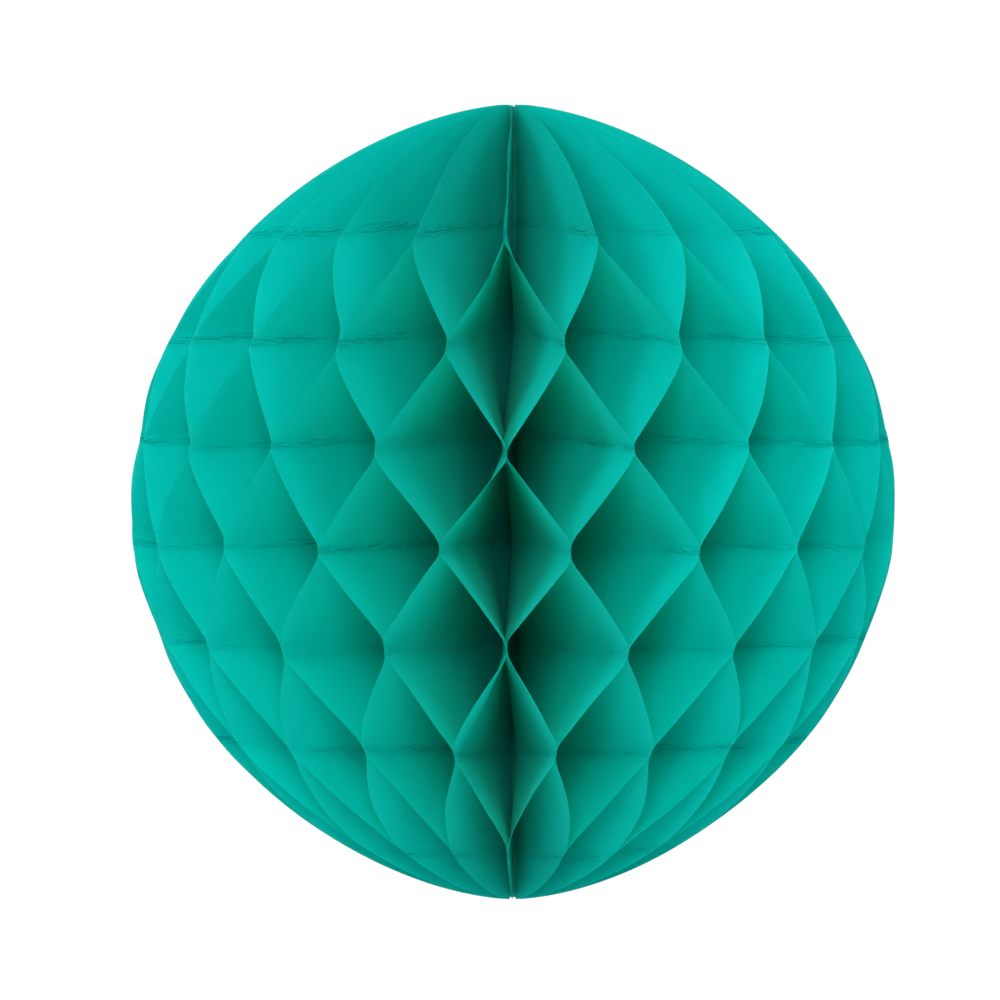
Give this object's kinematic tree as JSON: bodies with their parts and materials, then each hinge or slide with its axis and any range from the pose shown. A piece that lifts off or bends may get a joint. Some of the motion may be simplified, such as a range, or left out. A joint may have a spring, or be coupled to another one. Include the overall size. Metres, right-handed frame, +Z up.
{
  "type": "paper honeycomb ball",
  "caption": "Teal tissue-paper honeycomb ball for hanging, a fan of glued leaves round a bored spine with two hinged card covers.",
  "frame": {"origin": "centre of the open ball, on the axis of the spine and of its thread bore", "axes": "+Z up along the spine; the seam between the two card covers faces +Y, the unbroken side faces -Y, +X is to the right seen from the front"},
  "size_m": [0.193, 0.1925, 0.1996],
  "materials": {
    "tissue": "thin translucent tissue, soft sheen",
    "cover_card": "matte coloured card",
    "binding": "glued and rolled tissue margins",
    "adhesive_pad": "double-sided adhesive tape"
  },
  "bodies": {
    "spine_and_left_cover": {"spine_binding": "binding", "left_cover_card": "cover_card", "closure_pads": "adhesive_pad"},
    "right_cover": {"right_cover_card": "cover_card"},
    "leaf_01_fan": {"leaf_01": "tissue"},
    "leaf_02_fan": {"leaf_02": "tissue"},
    "leaf_03_fan": {"leaf_03": "tissue"},
    "leaf_04_fan": {"leaf_04": "tissue"},
    "leaf_05_fan": {"leaf_05": "tissue"},
    "leaf_06_fan": {"leaf_06": "tissue"},
    "leaf_07_fan": {"leaf_07": "tissue"},
    "leaf_08_fan": {"leaf_08": "tissue"},
    "leaf_09_fan": {"leaf_09": "tissue"},
    "leaf_10_fan": {"leaf_10": "tissue"},
    "leaf_11_fan": {"leaf_11": "tissue"},
    "leaf_12_fan": {"leaf_12": "tissue"},
    "leaf_13_fan": {"leaf_13": "tissue"},
    "leaf_14_fan": {"leaf_14": "tissue"},
    "leaf_15_fan": {"leaf_15": "tissue"},
    "leaf_16_fan": {"leaf_16": "tissue"},
    "leaf_17_fan": {"leaf_17": "tissue"},
    "leaf_18_fan": {"leaf_18": "tissue"},
    "leaf_19_fan": {"leaf_19": "tissue"},
    "leaf_20_fan": {"leaf_20": "tissue"},
    "leaf_21_fan": {"leaf_21": "tissue"},
    "leaf_22_fan": {"leaf_22": "tissue"},
    "leaf_23_fan": {"leaf_23": "tissue"},
    "leaf_24_fan": {"leaf_24": "tissue"},
    "leaf_25_fan": {"leaf_25": "tissue"},
    "leaf_26_fan": {"leaf_26": "tissue"},
    "leaf_27_fan": {"leaf_27": "tissue"},
    "leaf_28_fan": {"leaf_28": "tissue"},
    "leaf_29_fan": {"leaf_29": "tissue"},
    "leaf_30_fan": {"leaf_30": "tissue"},
    "leaf_31_fan": {"leaf_31": "tissue"},
    "leaf_32_fan": {"leaf_32": "tissue"},
    "leaf_33_fan": {"leaf_33": "tissue"},
    "leaf_34_fan": {"leaf_34": "tissue"},
    "leaf_35_fan": {"leaf_35": "tissue"},
    "leaf_36_fan": {"leaf_36": "tissue"},
    "leaf_37_fan": {"leaf_37": "tissue"},
    "leaf_38_fan": {"leaf_38": "tissue"}
  },
  "joints": [
    {"name": "cover_swing", "type": "hinge", "parent": "spine_and_left_cover", "child": "right_cover", "pos_m": [0, 0, 0], "axis": [0, 0, 1], "range_deg": [-354, 0], "deforming": ["leaf_01", "leaf_02", "leaf_03", "leaf_04", "leaf_05", "leaf_06", "leaf_07", "leaf_08", "leaf_09", "leaf_10", "leaf_11", "leaf_12", "leaf_13", "leaf_14", "leaf_15", "leaf_16", "leaf_17", "leaf_18", "leaf_19", "leaf_20", "leaf_21", "leaf_22", "leaf_23", "leaf_24", "leaf_25", "leaf_26", "leaf_27", "leaf_28", "leaf_29", "leaf_30", "leaf_31", "leaf_32", "leaf_33", "leaf_34", "leaf_35", "leaf_36", "leaf_37", "leaf_38"]},
    {"name": "leaf_01_turn", "type": "hinge", "parent": "spine_and_left_cover", "child": "leaf_01_fan", "pos_m": [0, 0, 0], "axis": [0, 0, 1], "range_deg": [-4.66, 0]},
    {"name": "leaf_02_turn", "type": "hinge", "parent": "spine_and_left_cover", "child": "leaf_02_fan", "pos_m": [0, 0, 0], "axis": [0, 0, 1], "range_deg": [-13.97, 0]},
    {"name": "leaf_03_turn", "type": "hinge", "parent": "spine_and_left_cover", "child": "leaf_03_fan", "pos_m": [0, 0, 0], "axis": [0, 0, 1], "range_deg": [-23.29, 0]},
    {"name": "leaf_04_turn", "type": "hinge", "parent": "spine_and_left_cover", "child": "leaf_04_fan", "pos_m": [0, 0, 0], "axis": [0, 0, 1], "range_deg": [-32.61, 0]},
    {"name": "leaf_05_turn", "type": "hinge", "parent": "spine_and_left_cover", "child": "leaf_05_fan", "pos_m": [0, 0, 0], "axis": [0, 0, 1], "range_deg": [-41.92, 0]},
    {"name": "leaf_06_turn", "type": "hinge", "parent": "spine_and_left_cover", "child": "leaf_06_fan", "pos_m": [0, 0, 0], "axis": [0, 0, 1], "range_deg": [-51.24, 0]},
    {"name": "leaf_07_turn", "type": "hinge", "parent": "spine_and_left_cover", "child": "leaf_07_fan", "pos_m": [0, 0, 0], "axis": [0, 0, 1], "range_deg": [-60.55, 0]},
    {"name": "leaf_08_turn", "type": "hinge", "parent": "spine_and_left_cover", "child": "leaf_08_fan", "pos_m": [0, 0, 0], "axis": [0, 0, 1], "range_deg": [-69.87, 0]},
    {"name": "leaf_09_turn", "type": "hinge", "parent": "spine_and_left_cover", "child": "leaf_09_fan", "pos_m": [0, 0, 0], "axis": [0, 0, 1], "range_deg": [-79.19, 0]},
    {"name": "leaf_10_turn", "type": "hinge", "parent": "spine_and_left_cover", "child": "leaf_10_fan", "pos_m": [0, 0, 0], "axis": [0, 0, 1], "range_deg": [-88.5, 0]},
    {"name": "leaf_11_turn", "type": "hinge", "parent": "spine_and_left_cover", "child": "leaf_11_fan", "pos_m": [0, 0, 0], "axis": [0, 0, 1], "range_deg": [-97.82, 0]},
    {"name": "leaf_12_turn", "type": "hinge", "parent": "spine_and_left_cover", "child": "leaf_12_fan", "pos_m": [0, 0, 0], "axis": [0, 0, 1], "range_deg": [-107.13, 0]},
    {"name": "leaf_13_turn", "type": "hinge", "parent": "spine_and_left_cover", "child": "leaf_13_fan", "pos_m": [0, 0, 0], "axis": [0, 0, 1], "range_deg": [-116.45, 0]},
    {"name": "leaf_14_turn", "type": "hinge", "parent": "spine_and_left_cover", "child": "leaf_14_fan", "pos_m": [0, 0, 0], "axis": [0, 0, 1], "range_deg": [-125.76, 0]},
    {"name": "leaf_15_turn", "type": "hinge", "parent": "spine_and_left_cover", "child": "leaf_15_fan", "pos_m": [0, 0, 0], "axis": [0, 0, 1], "range_deg": [-135.08, 0]},
    {"name": "leaf_16_turn", "type": "hinge", "parent": "spine_and_left_cover", "child": "leaf_16_fan", "pos_m": [0, 0, 0], "axis": [0, 0, 1], "range_deg": [-144.4, 0]},
    {"name": "leaf_17_turn", "type": "hinge", "parent": "spine_and_left_cover", "child": "leaf_17_fan", "pos_m": [0, 0, 0], "axis": [0, 0, 1], "range_deg": [-153.71, 0]},
    {"name": "leaf_18_turn", "type": "hinge", "parent": "spine_and_left_cover", "child": "leaf_18_fan", "pos_m": [0, 0, 0], "axis": [0, 0, 1], "range_deg": [-163.03, 0]},
    {"name": "leaf_19_turn", "type": "hinge", "parent": "spine_and_left_cover", "child": "leaf_19_fan", "pos_m": [0, 0, 0], "axis": [0, 0, 1], "range_deg": [-172.34, 0]},
    {"name": "leaf_20_turn", "type": "hinge", "parent": "spine_and_left_cover", "child": "leaf_20_fan", "pos_m": [0, 0, 0], "axis": [0, 0, 1], "range_deg": [-181.66, 0]},
    {"name": "leaf_21_turn", "type": "hinge", "parent": "spine_and_left_cover", "child": "leaf_21_fan", "pos_m": [0, 0, 0], "axis": [0, 0, 1], "range_deg": [-190.97, 0]},
    {"name": "leaf_22_turn", "type": "hinge", "parent": "spine_and_left_cover", "child": "leaf_22_fan", "pos_m": [0, 0, 0], "axis": [0, 0, 1], "range_deg": [-200.29, 0]},
    {"name": "leaf_23_turn", "type": "hinge", "parent": "spine_and_left_cover", "child": "leaf_23_fan", "pos_m": [0, 0, 0], "axis": [0, 0, 1], "range_deg": [-209.61, 0]},
    {"name": "leaf_24_turn", "type": "hinge", "parent": "spine_and_left_cover", "child": "leaf_24_fan", "pos_m": [0, 0, 0], "axis": [0, 0, 1], "range_deg": [-218.92, 0]},
    {"name": "leaf_25_turn", "type": "hinge", "parent": "spine_and_left_cover", "child": "leaf_25_fan", "pos_m": [0, 0, 0], "axis": [0, 0, 1], "range_deg": [-228.24, 0]},
    {"name": "leaf_26_turn", "type": "hinge", "parent": "spine_and_left_cover", "child": "leaf_26_fan", "pos_m": [0, 0, 0], "axis": [0, 0, 1], "range_deg": [-237.55, 0]},
    {"name": "leaf_27_turn", "type": "hinge", "parent": "spine_and_left_cover", "child": "leaf_27_fan", "pos_m": [0, 0, 0], "axis": [0, 0, 1], "range_deg": [-246.87, 0]},
    {"name": "leaf_28_turn", "type": "hinge", "parent": "spine_and_left_cover", "child": "leaf_28_fan", "pos_m": [0, 0, 0], "axis": [0, 0, 1], "range_deg": [-256.19, 0]},
    {"name": "leaf_29_turn", "type": "hinge", "parent": "spine_and_left_cover", "child": "leaf_29_fan", "pos_m": [0, 0, 0], "axis": [0, 0, 1], "range_deg": [-265.5, 0]},
    {"name": "leaf_30_turn", "type": "hinge", "parent": "spine_and_left_cover", "child": "leaf_30_fan", "pos_m": [0, 0, 0], "axis": [0, 0, 1], "range_deg": [-274.82, 0]},
    {"name": "leaf_31_turn", "type": "hinge", "parent": "spine_and_left_cover", "child": "leaf_31_fan", "pos_m": [0, 0, 0], "axis": [0, 0, 1], "range_deg": [-284.13, 0]},
    {"name": "leaf_32_turn", "type": "hinge", "parent": "spine_and_left_cover", "child": "leaf_32_fan", "pos_m": [0, 0, 0], "axis": [0, 0, 1], "range_deg": [-293.45, 0]},
    {"name": "leaf_33_turn", "type": "hinge", "parent": "spine_and_left_cover", "child": "leaf_33_fan", "pos_m": [0, 0, 0], "axis": [0, 0, 1], "range_deg": [-302.76, 0]},
    {"name": "leaf_34_turn", "type": "hinge", "parent": "spine_and_left_cover", "child": "leaf_34_fan", "pos_m": [0, 0, 0], "axis": [0, 0, 1], "range_deg": [-312.08, 0]},
    {"name": "leaf_35_turn", "type": "hinge", "parent": "spine_and_left_cover", "child": "leaf_35_fan", "pos_m": [0, 0, 0], "axis": [0, 0, 1], "range_deg": [-321.4, 0]},
    {"name": "leaf_36_turn", "type": "hinge", "parent": "spine_and_left_cover", "child": "leaf_36_fan", "pos_m": [0, 0, 0], "axis": [0, 0, 1], "range_deg": [-330.71, 0]},
    {"name": "leaf_37_turn", "type": "hinge", "parent": "spine_and_left_cover", "child": "leaf_37_fan", "pos_m": [0, 0, 0], "axis": [0, 0, 1], "range_deg": [-340.03, 0]},
    {"name": "leaf_38_turn", "type": "hinge", "parent": "spine_and_left_cover", "child": "leaf_38_fan", "pos_m": [0, 0, 0], "axis": [0, 0, 1], "range_deg": [-349.34, 0]}
  ],
  "couplings": [
    {"joint": "leaf_01_turn", "follows": "cover_swing", "ratio": 0.013158},
    {"joint": "leaf_02_turn", "follows": "cover_swing", "ratio": 0.039474},
    {"joint": "leaf_03_turn", "follows": "cover_swing", "ratio": 0.065789},
    {"joint": "leaf_04_turn", "follows": "cover_swing", "ratio": 0.092105},
    {"joint": "leaf_05_turn", "follows": "cover_swing", "ratio": 0.11842},
    {"joint": "leaf_06_turn", "follows": "cover_swing", "ratio": 0.14474},
    {"joint": "leaf_07_turn", "follows": "cover_swing", "ratio": 0.17105},
    {"joint": "leaf_08_turn", "follows": "cover_swing", "ratio": 0.19737},
    {"joint": "leaf_09_turn", "follows": "cover_swing", "ratio": 0.22368},
    {"joint": "leaf_10_turn", "follows": "cover_swing", "ratio": 0.25},
    {"joint": "leaf_11_turn", "follows": "cover_swing", "ratio": 0.27632},
    {"joint": "leaf_12_turn", "follows": "cover_swing", "ratio": 0.30263},
    {"joint": "leaf_13_turn", "follows": "cover_swing", "ratio": 0.32895},
    {"joint": "leaf_14_turn", "follows": "cover_swing", "ratio": 0.35526},
    {"joint": "leaf_15_turn", "follows": "cover_swing", "ratio": 0.38158},
    {"joint": "leaf_16_turn", "follows": "cover_swing", "ratio": 0.4079},
    {"joint": "leaf_17_turn", "follows": "cover_swing", "ratio": 0.43421},
    {"joint": "leaf_18_turn", "follows": "cover_swing", "ratio": 0.46053},
    {"joint": "leaf_19_turn", "follows": "cover_swing", "ratio": 0.48684},
    {"joint": "leaf_20_turn", "follows": "cover_swing", "ratio": 0.51316},
    {"joint": "leaf_21_turn", "follows": "cover_swing", "ratio": 0.53947},
    {"joint": "leaf_22_turn", "follows": "cover_swing", "ratio": 0.56579},
    {"joint": "leaf_23_turn", "follows": "cover_swing", "ratio": 0.5921},
    {"joint": "leaf_24_turn", "follows": "cover_swing", "ratio": 0.61842},
    {"joint": "leaf_25_turn", "follows": "cover_swing", "ratio": 0.64474},
    {"joint": "leaf_26_turn", "follows": "cover_swing", "ratio": 0.67105},
    {"joint": "leaf_27_turn", "follows": "cover_swing", "ratio": 0.69737},
    {"joint": "leaf_28_turn", "follows": "cover_swing", "ratio": 0.72368},
    {"joint": "leaf_29_turn", "follows": "cover_swing", "ratio": 0.75},
    {"joint": "leaf_30_turn", "follows": "cover_swing", "ratio": 0.77632},
    {"joint": "leaf_31_turn", "follows": "cover_swing", "ratio": 0.80263},
    {"joint": "leaf_32_turn", "follows": "cover_swing", "ratio": 0.82895},
    {"joint": "leaf_33_turn", "follows": "cover_swing", "ratio": 0.85526},
    {"joint": "leaf_34_turn", "follows": "cover_swing", "ratio": 0.88158},
    {"joint": "leaf_35_turn", "follows": "cover_swing", "ratio": 0.9079},
    {"joint": "leaf_36_turn", "follows": "cover_swing", "ratio": 0.93421},
    {"joint": "leaf_37_turn", "follows": "cover_swing", "ratio": 0.96053},
    {"joint": "leaf_38_turn", "follows": "cover_swing", "ratio": 0.98684}
  ]
}
